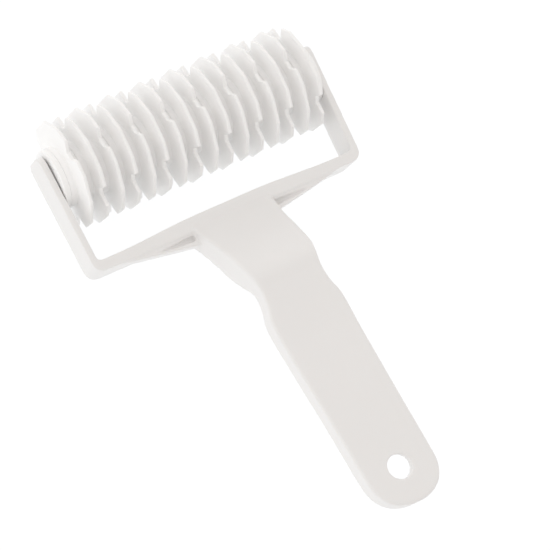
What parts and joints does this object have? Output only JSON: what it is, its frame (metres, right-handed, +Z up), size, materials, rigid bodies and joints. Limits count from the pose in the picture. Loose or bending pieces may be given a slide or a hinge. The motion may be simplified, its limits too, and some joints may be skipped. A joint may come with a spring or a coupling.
{
  "type": "lattice dough roller",
  "caption": "Hand-held roller with notched cutting discs on one spinning core between the arms of a forked handle, for cutting a lattice into pastry dough.",
  "frame": {"origin": "centre of the inner face of the fork's crossbar, half way up the strap", "axes": "+X along the roller's axis, to the right seen from the handle; +Y from the handle towards the roller; +Z up, square to the plane of the fork, on the side the handle rises to"},
  "size_m": [0.1226, 0.1934, 0.0721],
  "materials": {
    "shell": "satin, moulded",
    "blades": "satin, moulded"
  },
  "bodies": {
    "yoke": {"yoke_handle": "shell"},
    "roller": {"cutter_disc_01": "blades", "cutter_disc_02": "blades", "cutter_disc_03": "blades", "cutter_disc_04": "blades", "cutter_disc_05": "blades", "cutter_disc_06": "blades", "cutter_disc_07": "blades", "cutter_disc_08": "blades", "cutter_disc_09": "blades", "cutter_disc_10": "blades", "cutter_disc_11": "blades", "cutter_disc_12": "blades", "cutter_disc_13": "blades", "cutter_disc_14": "blades", "cutter_disc_15": "blades", "cutter_disc_16": "blades", "roller_core": "blades", "end_collar_left": "blades", "end_collar_right": "blades"}
  },
  "joints": [
    {"name": "roller_spin", "type": "hinge", "parent": "yoke", "child": "roller", "pos_m": [0, 0.0352, 0], "axis": [1, 0, 0], "continuous": true}
  ]
}
